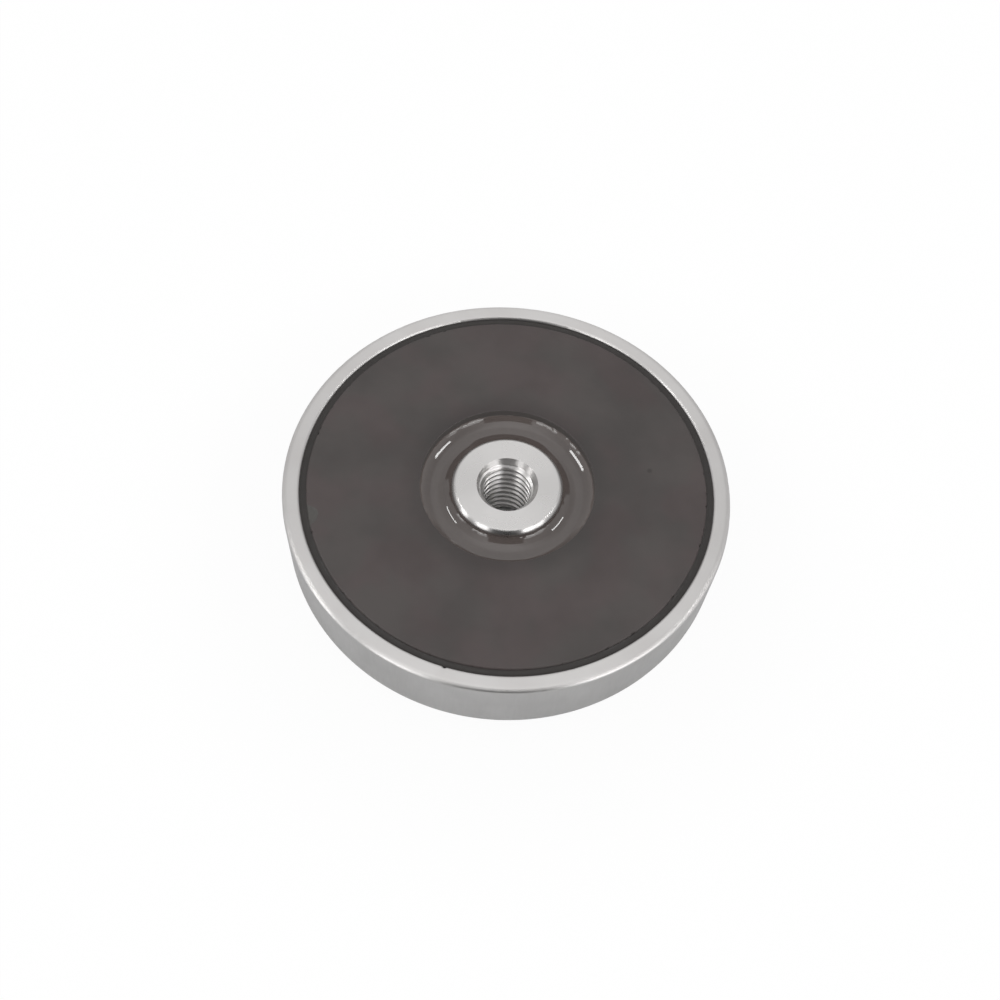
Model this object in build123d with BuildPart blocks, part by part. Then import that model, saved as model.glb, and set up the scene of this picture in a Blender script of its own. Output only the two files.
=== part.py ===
"""Ferrite pot magnet with a threaded centre bush.

A drawn steel cup holds a flat ferrite ring. A turned steel bush stands in the middle of the cup
and carries a female thread from face to face. One cured compound fills the moat between the bush
and the ferrite, another fills the narrow gap between the ferrite and the cup.

Millimetres. The origin is the centre of the back face, and +Z is the axis of the bush, which
points out of the magnetic face.
"""

import os
from math import radians, tan

from build123d import *

# Cup, a round pot drawn from sheet steel, whose wall leans out a little towards the rim
cup_rim_radius = 31.5
cup_height = 14.0
cup_wall = 2.4
cup_floor = 3.0
cup_draft_angle = 1.0
cup_back_corner_radius = 4.7
cup_inner_corner_radius = 1.0
rim_outer_edge_radius = 0.5
rim_inner_edge_radius = 0.2

# Ferrite ring, which stands on the floor of the cup
ferrite_bore_radius = 12.35
ferrite_face_drop = 0.1
ferrite_edge_chamfer = 0.15

# Centre bush, whose spigot fills the hole in the floor of the cup, flush with the back
bush_radius = 7.9
bush_face_drop = 0.35
bush_edge_chamfer = 0.5
spigot_wall = 2.0

# M8 thread, bored here to its tapping size, with a countersunk mouth on both faces
thread_major_radius = 4.0
tapping_radius = 3.4
mouth_lead = 0.35

# Adhesive in the gap at the rim: how far it starts below the ferrite's edge, and sags from there
rim_gap = 0.95
rim_adhesive_drop = 0.25
rim_adhesive_sag = 0.3

# Resin round the bush: its surface leaves both walls at one angle, down to a rounded valley
resin_bush_drop = 0.65
resin_ferrite_drop = 1.05
resin_slope_angle = 30.0
resin_valley_radius = 2.0

# What follows from those sizes
draft_slope = tan(radians(cup_draft_angle))
cup_back_radius = cup_rim_radius - cup_height * draft_slope
cup_mouth_radius = cup_rim_radius - cup_wall
cup_floor_radius = cup_mouth_radius - (cup_height - cup_floor) * draft_slope
ferrite_radius = cup_mouth_radius - rim_gap
ferrite_face = cup_height - ferrite_face_drop
ferrite_back_chamfer = cup_inner_corner_radius
bush_face = cup_height - bush_face_drop
spigot_radius = thread_major_radius + spigot_wall
mouth_radius = thread_major_radius + mouth_lead
mouth_depth = mouth_radius - tapping_radius
resin_slope = tan(radians(resin_slope_angle))
resin_bush_edge = bush_face - bush_edge_chamfer - resin_bush_drop
resin_ferrite_edge = ferrite_face - ferrite_edge_chamfer - resin_ferrite_drop
resin_valley_offset = (resin_bush_edge - resin_ferrite_edge) / (2 * resin_slope)
resin_valley = (bush_radius + ferrite_bore_radius) / 2 + resin_valley_offset
resin_valley_floor = resin_bush_edge - (resin_valley - bush_radius) * resin_slope
adhesive_edge = ferrite_face - ferrite_edge_chamfer - rim_adhesive_drop
adhesive_edge_radius = cup_mouth_radius - (cup_height - adhesive_edge) * draft_slope


def circles_at(part, level):
    """The part's circular edges at one level, counted up from the back, the smallest first."""
    circles = part.edges().filter_by(GeomType.CIRCLE)
    return circles.group_by(Axis.Z)[level].sort_by(SortBy.RADIUS)


# Cup: a drawn pot with a hole in its floor for the spigot of the bush
with BuildPart() as cup:
    with BuildSketch(Plane.XZ):
        with BuildLine():
            Polyline(
                (spigot_radius, 0),
                (cup_back_radius, 0),
                (cup_rim_radius, cup_height),
                (cup_mouth_radius, cup_height),
                (cup_floor_radius, cup_floor),
                (spigot_radius, cup_floor),
                close=True,
            )
        make_face()
    revolve(axis=Axis.Z)
    fillet(circles_at(cup, 0)[-1], cup_back_corner_radius)
    fillet(circles_at(cup, -1)[-1], rim_outer_edge_radius)
    fillet(circles_at(cup, -1)[0], rim_inner_edge_radius)
    inner_corner = cup.edges().filter_by(GeomType.CIRCLE).filter_by_position(
        Axis.Z, cup_floor, cup_floor
    )
    fillet(inner_corner.sort_by(SortBy.RADIUS)[-1], cup_inner_corner_radius)
cup.part.label = "cup"

# Ferrite ring: its back edge is bevelled to clear the corner inside the cup
with BuildPart() as ferrite_ring:
    with BuildSketch(Plane.XY.offset(cup_floor)):
        Circle(ferrite_radius)
        Circle(ferrite_bore_radius, mode=Mode.SUBTRACT)
    extrude(amount=ferrite_face - cup_floor)
    chamfer(circles_at(ferrite_ring, 0)[-1], ferrite_back_chamfer)
    chamfer(circles_at(ferrite_ring, -1), ferrite_edge_chamfer)
ferrite_ring.part.label = "ferrite_ring"

# Threaded bush: a body that stands on the floor of the cup, over a thinner spigot
with BuildPart() as threaded_bush:
    with BuildSketch(Plane.XY.offset(cup_floor)):
        Circle(bush_radius)
    extrude(amount=bush_face - cup_floor)
    with BuildSketch(Plane.XY):
        Circle(spigot_radius)
    extrude(amount=cup_floor)
    with Locations((0, 0, bush_face)):
        Hole(tapping_radius)
    chamfer(circles_at(threaded_bush, 0)[0], mouth_depth)
    chamfer(circles_at(threaded_bush, -1)[0], mouth_depth)
    chamfer(circles_at(threaded_bush, -1)[-1], bush_edge_chamfer)
threaded_bush.part.label = "threaded_bush"

# Centre resin: fills the moat round the bush, and climbs both of its walls
with BuildPart() as centre_resin:
    with BuildSketch(Plane.XZ):
        with BuildLine():
            Polyline(
                (bush_radius, cup_floor),
                (ferrite_bore_radius, cup_floor),
                (ferrite_bore_radius, resin_ferrite_edge),
                (resin_valley, resin_valley_floor),
                (bush_radius, resin_bush_edge),
                close=True,
            )
        make_face()
    revolve(axis=Axis.Z)
    fillet(circles_at(centre_resin, 1)[0], resin_valley_radius)
centre_resin.part.label = "centre_resin"

# Rim adhesive: fills the gap round the ferrite, down its bevel to the floor of the cup
adhesive_inner_edge = (ferrite_radius, adhesive_edge)
adhesive_outer_edge = (adhesive_edge_radius, adhesive_edge)
with BuildPart() as rim_adhesive:
    with BuildSketch(Plane.XZ):
        with BuildLine():
            Polyline(
                adhesive_inner_edge,
                (ferrite_radius, cup_floor + ferrite_back_chamfer),
                (ferrite_radius - ferrite_back_chamfer, cup_floor),
                (cup_floor_radius, cup_floor),
                adhesive_outer_edge,
            )
            ThreePointArc(
                adhesive_outer_edge,
                ((ferrite_radius + adhesive_edge_radius) / 2, adhesive_edge - rim_adhesive_sag),
                adhesive_inner_edge,
            )
        make_face()
    revolve(axis=Axis.Z)
    fillet(circles_at(rim_adhesive, 0)[-1], cup_inner_corner_radius)
rim_adhesive.part.label = "rim_adhesive"

os.makedirs("parts", exist_ok=True)
export_step(cup.part, "parts/cup.step")
export_step(ferrite_ring.part, "parts/ferrite_ring.step")
export_step(threaded_bush.part, "parts/threaded_bush.step")
export_step(centre_resin.part, "parts/centre_resin.step")
export_step(rim_adhesive.part, "parts/rim_adhesive.step")
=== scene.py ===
"""The looks of a ferrite pot magnet: a turned and plated cup, a ferrite ring, two compounds and a bush.

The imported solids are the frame. Each piece below is a finer mesh of one of them, with its worn edges,
its thread and its free surfaces, and stands in the same place. Outlines are written in millimetres,
as (radius, height) round the axis of the bush, and become metres when they are turned into a mesh.
"""

import math

import bmesh
import bpy
from mathutils import Matrix, Vector, noise


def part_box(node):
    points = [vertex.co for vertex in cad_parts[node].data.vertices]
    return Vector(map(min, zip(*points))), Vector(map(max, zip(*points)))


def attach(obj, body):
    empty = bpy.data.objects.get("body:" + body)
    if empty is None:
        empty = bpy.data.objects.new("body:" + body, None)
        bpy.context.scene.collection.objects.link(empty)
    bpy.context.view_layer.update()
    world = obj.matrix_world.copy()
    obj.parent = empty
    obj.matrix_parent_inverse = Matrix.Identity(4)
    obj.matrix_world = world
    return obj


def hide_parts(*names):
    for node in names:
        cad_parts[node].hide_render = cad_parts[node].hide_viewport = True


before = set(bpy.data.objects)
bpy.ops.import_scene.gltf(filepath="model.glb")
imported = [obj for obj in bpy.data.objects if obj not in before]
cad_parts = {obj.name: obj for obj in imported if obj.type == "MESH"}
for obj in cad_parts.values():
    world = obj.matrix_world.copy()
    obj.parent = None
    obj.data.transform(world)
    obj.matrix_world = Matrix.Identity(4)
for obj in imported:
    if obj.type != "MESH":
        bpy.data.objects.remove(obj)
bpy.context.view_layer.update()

MM = 0.001


def box_mm(node):
    """The radius and the lowest and highest level of a round CAD node, in millimetres."""
    low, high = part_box(node)
    return high.x / MM, low.z / MM, high.z / MM


# Sizes read from the frame
CUP_RADIUS, CUP_BACK, RIM_LEVEL = box_mm("cup")
FERRITE_RADIUS, FERRITE_BACK, FERRITE_FACE = box_mm("ferrite_ring")
BUSH_RADIUS, BUSH_BACK, BUSH_FACE = box_mm("threaded_bush")
BORE_RADIUS = box_mm("centre_resin")[0]
GAP_RADIUS, CUP_FLOOR, GAP_LEVEL = box_mm("rim_adhesive")

# Cup, in millimetres like every size below
WALL_DRAFT = math.radians(1.0)
WALL_THICKNESS = 2.4
BACK_CORNER = 4.7
INNER_CORNER = 1.0
RIM_EDGE_ACROSS = 0.8
RIM_EDGE_DOWN = 0.5
RIM_INNER_EDGE = 0.4
PLATED_EDGE = 0.15
NICK_AZIMUTH = -101.5
NICK_REACH = 0.35
NICK_DEPTH = 0.12

# Ferrite ring, with a chip in its outer edge and a dark speck painted on its face
FERRITE_EDGE = 0.15
BORE_EDGE = 0.05
BROKEN_EDGE = 0.06
RAGGED_EDGE = 0.3
FERRITE_BACK_BEVEL = 1.0
CHIP_AZIMUTH = -163.1
CHIP_WIDTH = 1.5
CHIP_LENGTH = 1.6
CHIP_DEPTH = 0.16
SPECK_AZIMUTH = 12.5
SPECK_RADIUS = 20.4
SPECK_SIZE = 0.45

# Bush and its M8 thread
BUSH_CHAMFER = 0.5
SPIGOT_RADIUS = 6.0
THREAD_MAJOR = 4.0
TAPPING_RADIUS = 3.4
THREAD_PITCH = 1.25
THREAD_START = math.radians(-135)
THREAD_EASE = 0.1
MOUTH_SLOPE = math.tan(math.radians(32.0))
MOUTH_RADIUS = 4.35

# Compounds. The resin falls away from the bush, lies level in its valley and climbs to the ferrite:
# each pair is a radius, and the tilt of the surface there in degrees.
ADHESIVE_SAG = 0.15
RESIN_AT_BUSH = 12.6
RESIN_CREEP = 0.06
RESIN_TILTS = (
    (7.9, -60),
    (8.1, -37),
    (8.4, -30),
    (8.95, -26),
    (9.15, -15),
    (9.6, -11),
    (10.1, 0),
    (10.7, 6),
    (11.0, 17),
    (11.15, 26),
    (11.42, 29),
    (11.8, 31.5),
    (12.1, 38),
    (12.35, 60),
)

# Fineness of the meshes
SEGMENTS = 960
BEAD_SEGMENTS = 720
TURN_STEPS = 192
PROFILE_STEPS = 22
CHIP_RINGS = 12
MOAT_STEPS = 90
BEAD_STEPS = 12
FLAT_EDGE = 0.04
WELD = 0.0015
RIBBON_WELD = 0.001


# ---------------------------------------------------------------- outlines and turned meshes

def rounded_corner(before, corner, after, reach, steps):
    """The points of a curve that rounds a corner, from its reach along the side before and after it."""
    corner = Vector(corner)
    back = (Vector(before) - corner).normalized() * reach[0]
    ahead = (Vector(after) - corner).normalized() * reach[1]
    points = []
    for step in range(steps + 1):
        turn = math.pi / 2 * step / steps
        points.append(corner + back * (1 - math.sin(turn)) + ahead * (1 - math.cos(turn)))
    return points


def outline(corners, spacing, closed=True):
    """An outline from corners (radius, height, reach, steps), with its long sides divided."""
    rounded = []
    count = len(corners)
    for index, (radius, height, reach, steps) in enumerate(corners):
        before = corners[index - 1][:2]
        after = corners[(index + 1) % count][:2]
        if reach:
            rounded.append(rounded_corner(before, (radius, height), after, reach, steps))
        else:
            rounded.append([Vector((radius, height))])
    points = []
    for index, arc in enumerate(rounded):
        points.extend(arc)
        if closed or index < count - 1:
            following = rounded[(index + 1) % count][0]
            points.extend(divided(arc[-1], following, spacing))
    return points


def divided(start, end, spacing):
    """Points between two ends of a side: one close to each end, to keep it flat, and some between."""
    length = (end - start).length
    if length < 8 * FLAT_EDGE:
        return []
    steps = max(1, round(length / spacing))
    between = [length * step / steps for step in range(1, steps)]
    places = [FLAT_EDGE] + between + [length - FLAT_EDGE]
    return [start.lerp(end, place / length) for place in places]


def turned(name, points, segments, wear=None, closed=True):
    """A mesh made by turning an outline once round the axis. wear moves a point of the outline."""
    mesh = bmesh.new()
    rings = []
    for segment in range(segments):
        azimuth = 2 * math.pi * segment / segments
        ring = []
        for point in points:
            radius, height = point
            if wear:
                radius, height = wear(radius, height, azimuth)
            place = Vector((radius * math.cos(azimuth), radius * math.sin(azimuth), height))
            ring.append(mesh.verts.new(place * MM))
        rings.append(ring)
    last = len(points) if closed else len(points) - 1
    for segment in range(segments):
        ring = rings[segment]
        beside = rings[(segment + 1) % segments]
        for index in range(last):
            after = (index + 1) % len(points)
            mesh.faces.new((ring[index], beside[index], beside[after], ring[after]))
    data = bpy.data.meshes.new(name)
    mesh.to_mesh(data)
    mesh.free()
    return data


def piece(name, data, node, material, sharp=35):
    """A finished piece: closed, facing outwards, smooth but for its sharp edges, and in the frame."""
    mesh = bmesh.new()
    mesh.from_mesh(data)
    bmesh.ops.remove_doubles(mesh, verts=mesh.verts, dist=WELD * MM)
    bmesh.ops.dissolve_degenerate(mesh, edges=mesh.edges, dist=WELD / 15 * MM)
    bmesh.ops.recalc_face_normals(mesh, faces=mesh.faces)
    mesh.to_mesh(data)
    mesh.free()
    data.shade_smooth()
    data.set_sharp_from_angle(angle=math.radians(sharp))
    data.materials.clear()
    data.materials.append(material)
    made = bpy.data.objects.new(name, data)
    bpy.context.scene.collection.objects.link(made)
    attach(made, "root")
    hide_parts(node)
    return made


def ripple(azimuth, waves, seed, radius=0.0):
    """Smooth noise from -1 to 1 that closes round a circle, with about so many waves in a turn."""
    reach = waves / 6
    place = Vector((reach * math.cos(azimuth), reach * math.sin(azimuth), seed + radius))
    return noise.noise(place)


def azimuth_gap(azimuth, degrees):
    """How far round a point is from a place given in degrees, in radians, from -pi to pi."""
    gap = azimuth - math.radians(degrees)
    return math.atan2(math.sin(gap), math.cos(gap))


def dip(distance, reach):
    """A round hollow's depth, from 1 in its middle to 0 at its reach."""
    share = min(1.0, abs(distance) / reach)
    return (1 - share * share) ** 2


def edge_wear(radius, height, azimuth, corner, reach, depth, waves, seed):
    """How far an edge has been knocked back near one corner of an outline."""
    distance = math.hypot(radius - corner[0], height - corner[1])
    if distance >= reach:
        return 0.0
    rough = 0.5 + 0.5 * ripple(azimuth, waves, seed)
    knock = max(0.0, ripple(azimuth, waves * 5, seed + 7) - 0.35)
    return depth * dip(distance, reach) * (0.35 * rough + 2.2 * knock)


# ---------------------------------------------------------------- node trees

class Tree:
    """Adds nodes to a node tree and wires them, for materials, the world and Geometry Nodes alike."""

    def __init__(self, tree):
        self.nodes = tree.nodes
        self.links = tree.links

    def add(self, kind, *values, named=None, **settings):
        """A new node, with its settings, and its inputs given in order or by name."""
        node = self.nodes.new(kind)
        for setting, value in settings.items():
            setattr(node, setting, value)
        for socket, value in zip(node.inputs, values):
            self.feed(socket, value)
        for name, value in (named or {}).items():
            self.feed(node.inputs[name], value)
        return node

    def feed(self, socket, value):
        """Links a socket to another, or sets its number or colour."""
        if isinstance(value, bpy.types.NodeSocket):
            self.links.new(value, socket)
        elif value is not None:
            socket.default_value = value

    def maths(self, operation, *values):
        """A sum of numbers."""
        return self.add("ShaderNodeMath", *values, operation=operation).outputs[0]

    def product(self, first, *others):
        """Numbers multiplied together."""
        result = first
        for other in others:
            result = self.maths("MULTIPLY", result, other)
        return result

    def vector(self, operation, *values, named=None):
        """A sum of vectors that gives a vector."""
        node = self.add("ShaderNodeVectorMath", *values, named=named, operation=operation)
        return node.outputs["Vector"]

    def measure(self, operation, *values):
        """A sum of vectors that gives a number."""
        node = self.add("ShaderNodeVectorMath", *values, operation=operation)
        return node.outputs["Value"]

    def point(self, *numbers):
        """A vector from its parts."""
        return self.add("ShaderNodeCombineXYZ", *numbers).outputs[0]

    def parts(self, vector):
        """The three parts of a vector."""
        return self.add("ShaderNodeSeparateXYZ", vector).outputs

    def between(self, value, low, high, to_low=0.0, to_high=1.0):
        """Turns a range of a value into another, softly at both ends."""
        node = self.add(
            "ShaderNodeMapRange", value, low, high, to_low, to_high, interpolation_type="SMOOTHSTEP"
        )
        return node.outputs["Result"]

    def mix(self, share, first, second):
        """A colour between two colours."""
        node = self.add("ShaderNodeMix", data_type="RGBA")
        self.feed(node.inputs["Factor"], share)
        self.feed(node.inputs[6], first)
        self.feed(node.inputs[7], second)
        return node.outputs[2]

    def cloud(self, place, size, detail=3.0, rough=0.5, distort=0.0):
        """Noise from 0 to 1 whose patches are about this size, in millimetres."""
        named = {"Scale": 1 / size, "Detail": detail, "Roughness": rough, "Distortion": distort}
        return self.add("ShaderNodeTexNoise", place, named=named).outputs["Fac"]


class Finish(Tree):
    """A procedural material, with its Principled shader and the places that its patterns need."""

    def __init__(self, name):
        self.material = bpy.data.materials.new(name)
        self.material.use_nodes = True
        super().__init__(self.material.node_tree)
        self.shader = self.nodes["Principled BSDF"]
        metres = self.add("ShaderNodeTexCoord").outputs["Object"]
        self.place = self.vector("SCALE", metres, named={"Scale": 1 / MM})
        self.x, self.y, self.height = self.parts(self.place)
        squares = self.maths("MULTIPLY_ADD", self.x, self.x, self.maths("MULTIPLY", self.y, self.y))
        self.radius = self.maths("SQRT", squares)
        self.azimuth = self.maths("ARCTAN2", self.y, self.x)

    def set(self, **inputs):
        """Sets the shader's inputs, named with _ for a space."""
        for name, value in inputs.items():
            self.feed(self.shader.inputs[name.replace("_", " ")], value)

    def reach(self, middle):
        """How far the surface is from a place, in millimetres."""
        return self.measure("DISTANCE", self.place, middle)

    def rings(self, pitch, wobble=0.4):
        """Fine rings round the axis, as a turning tool leaves them, that fade in and out."""
        along = self.point(self.radius, self.maths("MULTIPLY", self.azimuth, wobble))
        return self.cloud(along, pitch, 2.0, 0.7)

    def bump(self, pattern, depth, below=None):
        """A bump so many millimetres deep, laid over another."""
        named = {"Strength": 1.0, "Distance": depth * MM, "Height": pattern, "Normal": below}
        return self.add("ShaderNodeBump", named=named).outputs["Normal"]


def plated_steel():
    """Satin plate on the cup: bright and finely turned on the rim, duller and drawn on the wall."""
    finish = Finish("plated_steel")
    on_rim = finish.between(finish.height, RIM_LEVEL - 0.5, RIM_LEVEL - 0.05)
    on_edge = finish.between(finish.height, RIM_LEVEL - 0.06, RIM_LEVEL - 0.01, 1.0, 0.0)
    clouds = finish.between(finish.cloud(finish.place, 7.0, 4.0), 0.3, 0.7)
    specks = finish.cloud(finish.place, 0.35, 2.0)
    wall_tone = finish.mix(clouds, (0.48, 0.475, 0.472, 1), (0.53, 0.525, 0.522, 1))
    rim_tone = finish.mix(clouds, (0.705, 0.685, 0.675, 1), (0.745, 0.73, 0.72, 1))
    tone = finish.mix(on_rim, wall_tone, rim_tone)
    around = finish.maths("MULTIPLY", finish.azimuth, 60.0)
    stretched = finish.point(around, finish.maths("MULTIPLY", finish.height, 0.25))
    drawn = finish.cloud(stretched, 1.0, 2.0, 0.6)
    wall_rough = finish.between(drawn, 0.2, 0.8, 0.34, 0.42)
    flat_rough = finish.between(specks, 0.2, 0.8, 0.28, 0.32)
    rim_rough = finish.maths("MULTIPLY_ADD", on_edge, 0.09, flat_rough)
    rough = finish.add("ShaderNodeMix", on_rim, None, wall_rough, rim_rough, data_type="FLOAT")
    grain = finish.bump(specks, 0.0003)
    turned_marks = finish.bump(finish.maths("MULTIPLY", finish.rings(0.12), on_rim), 0.0003, grain)
    finish.set(Base_Color=tone, Metallic=1.0, Roughness=rough.outputs[0], Normal=turned_marks)
    turned_finish(finish, finish.maths("MULTIPLY", on_rim, 0.85))
    return finish.material


def turned_finish(finish, strength):
    """Spreads the shine across the turning marks, which run round the axis."""
    around = finish.point(finish.maths("MULTIPLY", finish.y, -1.0), finish.x)
    finish.set(Tangent=around, Anisotropic=strength, Anisotropic_Rotation=0.25)


def turned_steel():
    """Bright turned steel of the bush, with painted shade that darkens its chamfer and outer wall."""
    finish = Finish("turned_steel")
    clouds = finish.cloud(finish.place, 2.5, 3.0)
    specks = finish.cloud(finish.place, 0.2, 2.0)
    face_tone = finish.mix(clouds, (0.72, 0.705, 0.695, 1), (0.79, 0.775, 0.765, 1))
    # Painted shade: the chamfer and the bush's outer wall get a darker base colour, which dims their
    # reflections
    on_chamfer = finish.between(finish.radius, BUSH_RADIUS - 0.45, BUSH_RADIUS - 0.2, 0.0, 0.5)
    tone = finish.mix(on_chamfer, face_tone, (0.43, 0.42, 0.415, 1))
    in_thread = finish.between(finish.radius, THREAD_MAJOR, THREAD_MAJOR + 0.4, 1.0, 0.0)
    fine = finish.between(clouds, 0.3, 0.7, 0.26, 0.31)
    rough = finish.maths("MULTIPLY_ADD", in_thread, 0.04, fine)
    rings = finish.bump(finish.rings(0.1), 0.0004)
    grain = finish.bump(specks, 0.00012, rings)
    finish.set(Base_Color=tone, Metallic=1.0, Roughness=rough, Normal=grain)
    turned_finish(finish, 0.85)
    return finish.material


def on_face(azimuth, radius):
    """A place on the ferrite's face, in millimetres."""
    turn = math.radians(azimuth)
    return radius * math.cos(turn), radius * math.sin(turn), FERRITE_FACE


def sintered_ferrite():
    """Dull brown-grey ferrite, ground flat, with soft clouds and one painted dark speck, darker towards its
    bore.
    """
    finish = Finish("sintered_ferrite")
    clouds = finish.between(finish.cloud(finish.place, 12.0, 3.0, 0.55), 0.3, 0.7)
    warmth = finish.between(finish.cloud(finish.place, 8.0, 2.0), 0.38, 0.62)
    grains = finish.cloud(finish.place, 0.16, 3.0, 0.6)
    cool = finish.mix(clouds, (0.055, 0.048, 0.046, 1), (0.075, 0.065, 0.062, 1))
    warm = finish.mix(clouds, (0.060, 0.046, 0.045, 1), (0.080, 0.063, 0.062, 1))
    tone = finish.mix(warmth, cool, warm)
    speckled = finish.mix(finish.between(grains, 0.3, 0.75, 0.0, 0.2), tone, (0.090, 0.082, 0.078, 1))
    by_bore = finish.between(finish.radius, BORE_RADIUS, BORE_RADIUS + 3.5, 0.35, 0.0)
    shaded = finish.mix(by_bore, speckled, (0.022, 0.020, 0.019, 1))
    in_bore = finish.between(finish.radius, BORE_RADIUS + 0.01, BORE_RADIUS + 0.05, 1.0, 0.0)
    wetted = finish.mix(in_bore, shaded, (0.105, 0.096, 0.092, 1))
    chip_reach = finish.reach(on_face(CHIP_AZIMUTH, FERRITE_RADIUS - CHIP_WIDTH / 2))
    below_face = finish.between(finish.height, FERRITE_FACE - 0.04, FERRITE_FACE - 0.015, 1.0, 0.0)
    broken = finish.maths("MULTIPLY", below_face, finish.between(chip_reach, 1.7, 2.1, 1.0, 0.0))
    chipped = finish.mix(broken, wetted, (0.080, 0.076, 0.071, 1))
    # A dark speck painted on the face, with no hollow in the mesh under it
    speck_reach = finish.maths("MULTIPLY_ADD", grains, 0.3, finish.reach(on_face(SPECK_AZIMUTH, SPECK_RADIUS)))
    in_speck = finish.between(speck_reach, 0.25, 0.25 + SPECK_SIZE, 0.7, 0.0)
    whole = finish.mix(in_speck, chipped, (0.035, 0.030, 0.028, 1))
    rough = finish.between(grains, 0.2, 0.8, 0.5, 0.66)
    ground = finish.bump(grains, 0.003)
    finish.set(Base_Color=whole, Metallic=0.0, Roughness=rough, Normal=ground, IOR=1.5)
    return finish.material


def cured_resin():
    """Glossy cured resin, brown-grey, with a faint haze under its skin, and a painted sheen that lightens
    it towards the ferrite.
    """
    finish = Finish("cured_resin")
    haze = finish.cloud(finish.place, 2.4, 3.0, 0.6, 0.6)
    dust = finish.cloud(finish.place, 0.3, 2.0)
    body = finish.mix(haze, (0.099, 0.082, 0.076, 1), (0.120, 0.100, 0.093, 1))
    # Painted reflection: the resin's colour is made lighter where it climbs to the ferrite, standing in for
    # the brighter sheen on that slope
    painted_sheen_by_ferrite = finish.between(finish.radius, BORE_RADIUS - 0.9, BORE_RADIUS - 0.1, 0.0, 0.6)
    tone = finish.mix(painted_sheen_by_ferrite, body, (0.155, 0.130, 0.120, 1))
    rough = finish.between(dust, 0.3, 0.8, 0.03, 0.07)
    slow = finish.bump(finish.cloud(finish.place, 1.1, 2.0), 0.004)
    finish.set(Base_Color=tone, Metallic=0.0, Roughness=rough, Normal=slow, IOR=1.72)
    return finish.material


def dark_adhesive():
    """Nearly black adhesive, half dull, in the gap round the ferrite."""
    finish = Finish("dark_adhesive")
    clouds = finish.cloud(finish.place, 1.5, 3.0)
    tone = finish.mix(clouds, (0.033, 0.029, 0.027, 1), (0.042, 0.037, 0.035, 1))
    rough = finish.between(clouds, 0.3, 0.7, 0.42, 0.6)
    lumps = finish.bump(finish.cloud(finish.place, 0.4, 2.0), 0.01)
    finish.set(Base_Color=tone, Metallic=0.0, Roughness=rough, Normal=lumps)
    return finish.material


# ---------------------------------------------------------------- the pieces

def steel_cup(material):
    """Drawn cup, with a broken and slightly knocked edge on both sides of its turned rim."""
    draft = math.tan(WALL_DRAFT)
    rim_radius = CUP_RADIUS + RIM_EDGE_DOWN * draft
    back_radius = rim_radius - (RIM_LEVEL - CUP_BACK) * draft
    mouth_radius = rim_radius - WALL_THICKNESS
    floor_radius = mouth_radius - (RIM_LEVEL - CUP_FLOOR) * draft
    corners = [
        (SPIGOT_RADIUS, CUP_BACK, (PLATED_EDGE, PLATED_EDGE), 4),
        (back_radius, CUP_BACK, (BACK_CORNER, BACK_CORNER), 20),
        (rim_radius, RIM_LEVEL, (RIM_EDGE_DOWN, RIM_EDGE_ACROSS), 14),
        (mouth_radius, RIM_LEVEL, (RIM_INNER_EDGE, RIM_INNER_EDGE), 8),
        (floor_radius, CUP_FLOOR, (INNER_CORNER, INNER_CORNER), 4),
        (SPIGOT_RADIUS, CUP_FLOOR, None, 0),
    ]

    outer_edge = {"corner": (rim_radius, RIM_LEVEL), "reach": 1.1, "depth": 0.04, "waves": 24, "seed": 3}
    inner_edge = {"corner": (mouth_radius, RIM_LEVEL), "reach": 0.6, "depth": 0.03, "waves": 24, "seed": 11}

    def wear(radius, height, azimuth):
        outer = edge_wear(radius, height, azimuth, **outer_edge)
        inner = edge_wear(radius, height, azimuth, **inner_edge)
        from_nick = azimuth_gap(azimuth, NICK_AZIMUTH) * radius
        inner += NICK_DEPTH * dip(from_nick, NICK_REACH) * dip(radius - mouth_radius, 0.5)
        return radius - outer + inner, height - outer - inner

    data = turned("steel_cup", outline(corners, spacing=1.6), SEGMENTS, wear)
    return piece("steel_cup", data, "cup", material)


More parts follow.
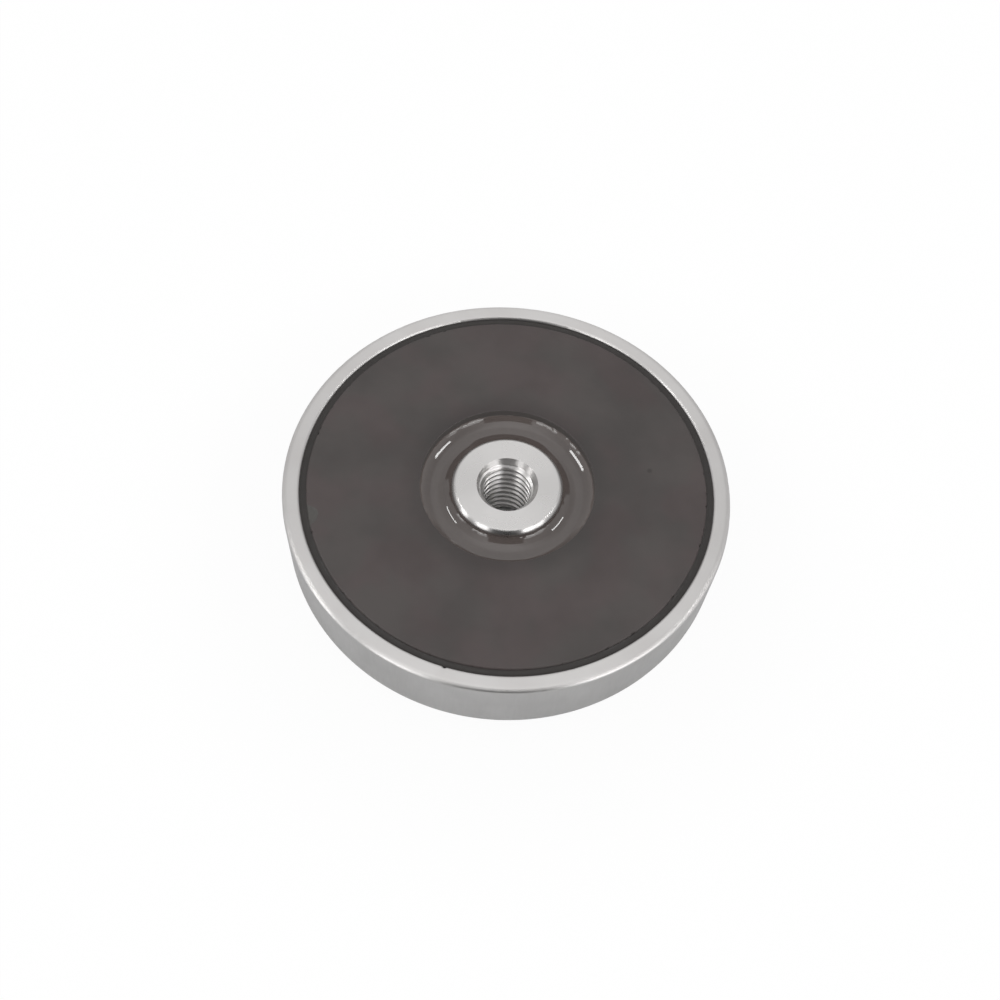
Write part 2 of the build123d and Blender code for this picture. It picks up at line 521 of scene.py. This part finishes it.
def ferrite_disc(material):
    """Ferrite ring, with a shallow chip at its slightly ragged outer edge."""
    edge_start = FERRITE_RADIUS - FERRITE_EDGE
    chip_start = FERRITE_RADIUS - CHIP_WIDTH
    broken = (BROKEN_EDGE, BROKEN_EDGE)
    corners = [
        (BORE_RADIUS, FERRITE_BACK, None, 0),
        (FERRITE_RADIUS - FERRITE_BACK_BEVEL, FERRITE_BACK, None, 0),
        (FERRITE_RADIUS, FERRITE_BACK + FERRITE_BACK_BEVEL, None, 0),
        (FERRITE_RADIUS, FERRITE_FACE - FERRITE_EDGE, broken, 3),
        (edge_start, FERRITE_FACE, broken, 3),
    ]
    for ring in range(1, CHIP_RINGS):
        inward = ring / CHIP_RINGS * (CHIP_WIDTH - FERRITE_EDGE)
        corners.append((edge_start - inward, FERRITE_FACE, None, 0))
    corners += [
        (chip_start, FERRITE_FACE, None, 0),
        (BORE_RADIUS + BORE_EDGE, FERRITE_FACE, None, 0),
        (BORE_RADIUS, FERRITE_FACE - BORE_EDGE, None, 0),
    ]

    def wear(radius, height, azimuth):
        if height < FERRITE_FACE - 2 * FERRITE_EDGE or radius < chip_start:
            return radius, height
        crumbled = max(0.0, ripple(azimuth, waves=260, seed=17) - 0.25)
        ragged = RAGGED_EDGE * (crumbled * dip(FERRITE_RADIUS - radius, 0.45))
        along = azimuth_gap(azimuth, CHIP_AZIMUTH) * radius / CHIP_LENGTH
        reach = (radius - chip_start) / CHIP_WIDTH
        front = 1 - min(1.0, abs(along)) ** 2.5 + 0.15 * ripple(azimuth, waves=300, seed=5)
        bitten = max(0.0, min(1.0, 4 * (reach - 1 + front))) if abs(along) < 1 else 0.0
        rough = 1 + 0.4 * ripple(azimuth, waves=500, seed=9, radius=2 * radius)
        return radius - ragged, height - CHIP_DEPTH * bitten * rough - ragged

    data = turned("ferrite_disc", outline(corners, spacing=1.2), SEGMENTS, wear)
    return piece("ferrite_disc", data, "ferrite_ring", material)


def adhesive_bead(material):
    """Adhesive in the gap between ferrite and cup, which sags between its two edges."""
    middle = (FERRITE_RADIUS + GAP_RADIUS) / 2
    half = (GAP_RADIUS - FERRITE_RADIUS) / 2
    wall_taper = 0.19
    corner_reach = 1.2
    points = []
    for step in range(BEAD_STEPS + 1):
        share = 2 * step / BEAD_STEPS - 1
        points.append((middle + half * share, GAP_LEVEL - ADHESIVE_SAG * (1 - share * share)))
    points += [
        (GAP_RADIUS - wall_taper, CUP_FLOOR + INNER_CORNER),
        (GAP_RADIUS - corner_reach, CUP_FLOOR),
        (FERRITE_RADIUS - FERRITE_BACK_BEVEL, CUP_FLOOR),
        (FERRITE_RADIUS, CUP_FLOOR + FERRITE_BACK_BEVEL),
    ]
    data = turned("adhesive_bead", points, BEAD_SEGMENTS)
    return piece("adhesive_bead", data, "rim_adhesive", material)


def resin_tilt(radius):
    """How steeply the resin climbs at a radius, in radians, from its tilts at a few radii."""
    for (inner, low), (outer, high) in zip(RESIN_TILTS, RESIN_TILTS[1:]):
        if radius <= outer:
            share = (radius - inner) / (outer - inner)
            return math.radians(low + (high - low) * share)
    return math.radians(RESIN_TILTS[-1][1])


def resin_moat(material):
    """Resin between bush and ferrite: a wide valley that creeps up both walls, steeper beside them."""
    width = (BORE_RADIUS - BUSH_RADIUS) / MOAT_STEPS
    level = RESIN_AT_BUSH
    points = [(BUSH_RADIUS, level)]
    for step in range(MOAT_STEPS):
        middle = BUSH_RADIUS + (step + 0.5) * width
        level += width * math.tan(resin_tilt(middle))
        points.append((BUSH_RADIUS + (step + 1) * width, level))
    points.append((BORE_RADIUS, CUP_FLOOR))
    points.append((BUSH_RADIUS, CUP_FLOOR))

    def creep(radius, height, azimuth):
        if height == CUP_FLOOR:
            return radius, height
        at_ferrite = dip(BORE_RADIUS - radius, 0.5) * ripple(azimuth, 90, seed=41, radius=2 * radius)
        at_bush = dip(radius - BUSH_RADIUS, 0.45) * ripple(azimuth, 60, seed=47, radius=2 * radius)
        slow = 0.3 * ripple(azimuth, 9, seed=53, radius=0.5 * radius)
        return radius, height + RESIN_CREEP * (at_ferrite + at_bush + slow)

    data = turned("resin_moat", points, SEGMENTS, creep)
    return piece("resin_moat", data, "centre_resin", material)


def tapped_bore(material):
    """A tapped bore with a countersunk mouth at both ends, made by Geometry Nodes as one helix."""
    group = bpy.data.node_groups.new("tapped_bore", "GeometryNodeTree")
    sizes = {
        "Pitch": THREAD_PITCH,
        "Major Radius": THREAD_MAJOR,
        "Tapping Radius": TAPPING_RADIUS,
        "Mouth Radius": MOUTH_RADIUS,
        "Back": BUSH_BACK,
        "Face": BUSH_FACE,
        "Start": THREAD_START,
        "Mouth Slope": MOUTH_SLOPE,
    }
    for name in sizes:
        group.interface.new_socket(name, in_out="INPUT", socket_type="NodeSocketFloat")
    group.interface.new_socket("Geometry", in_out="OUTPUT", socket_type="NodeSocketGeometry")
    tree = Tree(group)
    given = tree.add("NodeGroupInput").outputs
    # A ribbon one pitch wide is wound up from below the back to above the face, and cut off at both
    turns = math.ceil((BUSH_FACE - BUSH_BACK) / THREAD_PITCH) + 2
    ribbon = tree.add("GeometryNodeMeshGrid", 1.0, 1.0, turns * TURN_STEPS + 1, PROFILE_STEPS + 1)
    on_ribbon = tree.parts(tree.add("GeometryNodeInputPosition").outputs[0])
    turn = tree.maths("MULTIPLY", tree.maths("ADD", on_ribbon[0], 0.5), float(turns))
    phase = tree.maths("ADD", on_ribbon[1], 0.5)
    climbed_turns = tree.maths("ADD", tree.maths("ADD", turn, phase), -1.0)
    climb = tree.maths("MULTIPLY", climbed_turns, given["Pitch"])
    raised = tree.maths("ADD", given["Back"], climb)
    level = tree.maths("MINIMUM", tree.maths("MAXIMUM", raised, given["Back"]), given["Face"])
    bore = tree.maths("MAXIMUM", thread_form(tree, given, phase), mouth_cones(tree, given, level))
    angle = tree.maths("MULTIPLY_ADD", turn, 2 * math.pi, given["Start"])
    x = tree.maths("MULTIPLY", bore, tree.maths("COSINE", angle))
    y = tree.maths("MULTIPLY", bore, tree.maths("SINE", angle))
    place = tree.vector("SCALE", tree.point(x, y, level), named={"Scale": MM})
    wound = tree.add("GeometryNodeSetPosition", ribbon.outputs["Mesh"], named={"Position": place})
    weld = {"Distance": RIBBON_WELD * MM}
    joined = tree.add("GeometryNodeMergeByDistance", wound.outputs[0], named=weld)
    real = tree.add("GeometryNodeRealizeInstances", joined.outputs[0])
    coated = tree.add("GeometryNodeSetMaterial", real.outputs[0], named={"Material": material})
    tree.add("NodeGroupOutput", coated.outputs[0])
    return evaluated("tapped_bore", group, sizes)


def thread_form(tree, given, phase):
    """The radius of a 60 degree thread, cut off at its major and tapping radius, with eased corners.

    The sharp form is an equilateral triangle on one pitch. An eighth of its height would stand
    outside the major radius, so its apex lies seven eighths inside.
    """
    height = tree.maths("MULTIPLY", given["Pitch"], math.sqrt(0.75))
    apex = tree.maths("MULTIPLY_ADD", height, -7 / 8, given["Major Radius"])
    there_and_back = tree.maths("PINGPONG", phase, 0.5)
    flank = tree.maths("MULTIPLY_ADD", there_and_back, tree.maths("ADD", height, height), apex)
    root = tree.maths("SMOOTH_MIN", flank, given["Major Radius"], THREAD_EASE)
    return tree.maths("SMOOTH_MAX", root, given["Tapping Radius"], THREAD_EASE)


def mouth_cones(tree, given, level):
    """The radius of the countersinks at both ends, which narrow from the mouth as they go in."""
    inward = tree.maths("MULTIPLY", given["Mouth Slope"], -1.0)
    from_face = tree.maths("SUBTRACT", given["Face"], level)
    from_back = tree.maths("SUBTRACT", level, given["Back"])
    face_cone = tree.maths("MULTIPLY_ADD", from_face, inward, given["Mouth Radius"])
    back_cone = tree.maths("MULTIPLY_ADD", from_back, inward, given["Mouth Radius"])
    return tree.maths("MAXIMUM", face_cone, back_cone)


def evaluated(name, group, sizes):
    """The plain mesh that a Geometry Nodes tree makes from these sizes."""
    holder = bpy.data.objects.new(name, bpy.data.meshes.new(name))
    bpy.context.scene.collection.objects.link(holder)
    modifier = holder.modifiers.new(name, "NODES")
    modifier.node_group = group
    for item in group.interface.items_tree:
        if item.in_out == "INPUT" and item.name in sizes:
            modifier[item.identifier] = sizes[item.name]
    depsgraph = bpy.context.evaluated_depsgraph_get()
    data = bpy.data.meshes.new_from_object(holder.evaluated_get(depsgraph))
    bpy.data.objects.remove(holder)
    return data


def turned_bush(material):
    """Threaded bush: the tapped bore inside a turned body over a thinner spigot."""
    on_flat, on_chamfer = 0.15, 0.25
    corners = [
        (MOUTH_RADIUS, BUSH_FACE, None, 0),
        (BUSH_RADIUS - BUSH_CHAMFER, BUSH_FACE, (on_flat, on_chamfer), 6),
        (BUSH_RADIUS, BUSH_FACE - BUSH_CHAMFER, (on_chamfer, on_flat), 6),
        (BUSH_RADIUS, CUP_FLOOR, None, 0),
        (SPIGOT_RADIUS, CUP_FLOOR, None, 0),
        (SPIGOT_RADIUS, BUSH_BACK, (PLATED_EDGE, PLATED_EDGE), 4),
        (MOUTH_RADIUS, BUSH_BACK, None, 0),
    ]
    edge = {"corner": (BUSH_RADIUS, BUSH_FACE), "reach": 0.75, "depth": 0.02, "waves": 14, "seed": 23}

    def wear(radius, height, azimuth):
        worn = edge_wear(radius, height, azimuth, **edge)
        return radius - worn, height - worn

    # The body is open between its two mouths, where the tapped bore closes it
    points = outline(corners, spacing=0.5, closed=False)
    body = turned("turned_bush", points, TURN_STEPS, wear, closed=False)
    whole = bmesh.new()
    whole.from_mesh(body)
    whole.from_mesh(tapped_bore(material))
    whole.to_mesh(body)
    whole.free()
    return piece("turned_bush", body, "threaded_bush", material, sharp=38)


# ---------------------------------------------------------------- the studio

CAMERA_DISTANCE = 188.84 * MM
CAMERA_RISE = math.radians(58.898)
CAMERA_PAN = -0.004383
CAMERA_TILT = -0.013054
CAMERA_ROLL = 0.09859
LENS = 48.376
SENSOR = 36.0
TO_CAMERA = Vector((0, -math.cos(CAMERA_RISE), math.sin(CAMERA_RISE)))

# Where the lights show on the object, as tilts of its surface in degrees
STRIP_TILTS = (26.0, 27.9)
WINDOW_TILTS = (33, 54)
TUBE_TILTS = (41, 44)


def direction(half_azimuth, half_tilt):
    """Where a light is that shows at such an azimuth and tilt on the object, seen by the camera."""
    azimuth = math.radians(half_azimuth)
    tilt = math.radians(half_tilt)
    facing = Vector((
        math.sin(tilt) * math.sin(azimuth),
        -math.sin(tilt) * math.cos(azimuth),
        math.cos(tilt),
    ))
    return 2 * facing.dot(TO_CAMERA) * facing - TO_CAMERA


def swung(first, second, angle):
    """Two axes turned in their own plane, the first towards the second."""
    return (
        first * math.cos(angle) + second * math.sin(angle),
        second * math.cos(angle) - first * math.sin(angle),
    )


def studio_camera():
    """The camera looks down on the rim from the front, turned a little on its own axis."""
    aim = Vector((0, 0, RIM_LEVEL * MM))
    place = aim + CAMERA_DISTANCE * TO_CAMERA
    ahead = (aim - place).normalized()
    right = ahead.cross(Vector((0, 0, 1))).normalized()
    up = right.cross(ahead)
    ahead, right = swung(ahead, right, CAMERA_PAN)
    ahead, up = swung(ahead, up, CAMERA_TILT)
    right, up = swung(right, up, CAMERA_ROLL)
    camera = bpy.data.objects.new("camera", bpy.data.cameras.new("camera"))
    bpy.context.scene.collection.objects.link(camera)
    axes = Matrix((right, up, -ahead)).transposed().to_4x4()
    camera.matrix_world = Matrix.Translation(place) @ axes
    camera.data.lens = LENS
    camera.data.sensor_width = SENSOR
    camera.data.clip_start = 10 * MM
    bpy.context.scene.camera = camera


def window(name, azimuths, tilts, radiance, distance=0.9):
    """A soft box that shows on the object between these azimuths, where it tilts between these angles."""
    azimuth = sum(azimuths) / 2
    tilt = sum(tilts) / 2
    toward = direction(azimuth, tilt)
    across = direction(azimuths[1], tilt) - direction(azimuths[0], tilt)
    along = direction(azimuth, tilts[1]) - direction(azimuth, tilts[0])
    side = (across - across.dot(toward) * toward).normalized()
    light = bpy.data.lights.new(name, "AREA")
    light.shape = "RECTANGLE"
    light.size = distance * across.length
    light.size_y = distance * along.length
    light.energy = radiance * 4 * light.size * light.size_y
    lamp = bpy.data.objects.new(name, light)
    bpy.context.scene.collection.objects.link(lamp)
    turn = Matrix((side, toward.cross(side), toward)).transposed().to_4x4()
    lamp.matrix_world = Matrix.Translation(toward * distance) @ turn
    lamp.visible_camera = False


def soft_box(name, azimuths, radiance):
    """A tall soft box with a brighter tube across its middle."""
    window(name, azimuths, WINDOW_TILTS, radiance)
    window(name + "_tube", azimuths, TUBE_TILTS, 2 * radiance, distance=0.88)


def studio_lights():
    """Two small strips that only the resin is smooth enough to show, and tall windows lower down."""
    window("right_strip", (49.5, 67.5), STRIP_TILTS, 7)
    window("left_strip", (-66, -47), STRIP_TILTS, 7)
    soft_box("right_box", (21, 35), 1.25)
    soft_box("right_far_box", (36, 47), 0.95)
    soft_box("left_box", (-52, -43), 1.25)
    soft_box("front_left_box", (-30, -16), 1.15)


def camera_gap(tree, toward):
    """Where the gap at the camera is: 1 within it, by the azimuth and tilt of what would mirror it."""
    x, y, z = tree.parts(tree.vector("NORMALIZE", tree.vector("ADD", toward, TO_CAMERA[:])))
    azimuth = tree.maths("ARCTAN2", x, tree.maths("MULTIPLY", y, -1.0))
    tilt = tree.maths("ARCCOSINE", z)
    edge = math.radians(1.0)
    left, right, near = math.radians(-13), math.radians(20.5), math.radians(29)
    past_left = tree.between(azimuth, left - edge, left + edge)
    short_of_right = tree.between(azimuth, right - edge, right + edge, 1.0, 0.0)
    low_enough = tree.between(tilt, near - edge / 2, near + edge / 2)
    return tree.product(past_left, short_of_right, low_enough)


def tent_brightness(tree, toward):
    """How bright the tent is: more overhead and low on the right, less at its other sides."""
    rightward, backward = tree.parts(toward)[:2]
    high_right = tree.between(rightward, 0.1, 0.45, 1.0, 0.67)
    low_right = tree.between(rightward, 0.6, 0.85, 1.0, 1.25)
    to_left = tree.between(rightward, -0.5, -0.1, 0.78, 1.0)
    to_front = tree.between(backward, -0.7, -0.35, 0.75, 1.0)
    high = Vector((0, -0.25, 1)).normalized()
    overhead = tree.between(tree.measure("DOT_PRODUCT", toward, high[:]), 0.8, 0.98, 1.0, 1.35)
    return tree.product(high_right, low_right, to_left, to_front, overhead)


def studio_world(brightness=0.80, gap_level=0.06):
    """A white tent with a dark gap where the camera is, which the camera itself sees as plain white."""
    world = bpy.data.worlds.new("studio")
    bpy.context.scene.world = world
    world.use_nodes = True
    tree = Tree(world.node_tree)
    tree.nodes.clear()
    toward = tree.add("ShaderNodeTexCoord").outputs["Generated"]
    gap = camera_gap(tree, toward)
    open_share = tree.maths("MULTIPLY_ADD", gap, gap_level - 1.0, 1.0)
    level = tree.product(tent_brightness(tree, toward), open_share, brightness)
    lit = tree.add("ShaderNodeBackground", (1, 1, 1, 1), level)
    white = tree.add("ShaderNodeBackground", (1, 1, 1, 1), 1.0)
    seen = tree.add("ShaderNodeLightPath").outputs["Is Camera Ray"]
    both = tree.add("ShaderNodeMixShader", seen, lit.outputs[0], white.outputs[0])
    tree.add("ShaderNodeOutputWorld", both.outputs[0])


def studio_floor(size=3.0):
    """A plain white floor, lifted to white for the camera but for the object's shadow."""
    data = bpy.data.meshes.new("floor")
    half = size / 2
    corners = [(-half, -half, 0), (half, -half, 0), (half, half, 0), (-half, half, 0)]
    data.from_pydata(corners, [], [(0, 1, 2, 3)])
    floor = bpy.data.objects.new("floor", data)
    bpy.context.scene.collection.objects.link(floor)
    material = bpy.data.materials.new("floor_white")
    material.use_nodes = True
    tree = Tree(material.node_tree)
    tree.nodes.clear()
    paint = tree.add("ShaderNodeBsdfDiffuse", (0.85, 0.85, 0.85, 1))
    white = tree.add("ShaderNodeEmission", (1, 1, 1, 1), 1.0)
    from_middle = tree.measure("LENGTH", tree.add("ShaderNodeTexCoord").outputs["Object"])
    beside = tree.between(from_middle, 20 * MM, 26 * MM, 0.0, 0.95)
    beyond = tree.between(from_middle, 36 * MM, 60 * MM, 0.0, 0.04)
    seen = tree.add("ShaderNodeLightPath").outputs["Is Camera Ray"]
    share = tree.maths("MULTIPLY", seen, tree.maths("ADD", beside, beyond))
    both = tree.add("ShaderNodeMixShader", share, paint.outputs[0], white.outputs[0])
    tree.add("ShaderNodeOutputMaterial", both.outputs[0])
    data.materials.append(material)


steel_cup(plated_steel())
ferrite_disc(sintered_ferrite())
adhesive_bead(dark_adhesive())
resin_moat(cured_resin())
turned_bush(turned_steel())

studio_camera()
studio_lights()
studio_world()
studio_floor()
bpy.context.scene.view_settings.view_transform = "Standard"
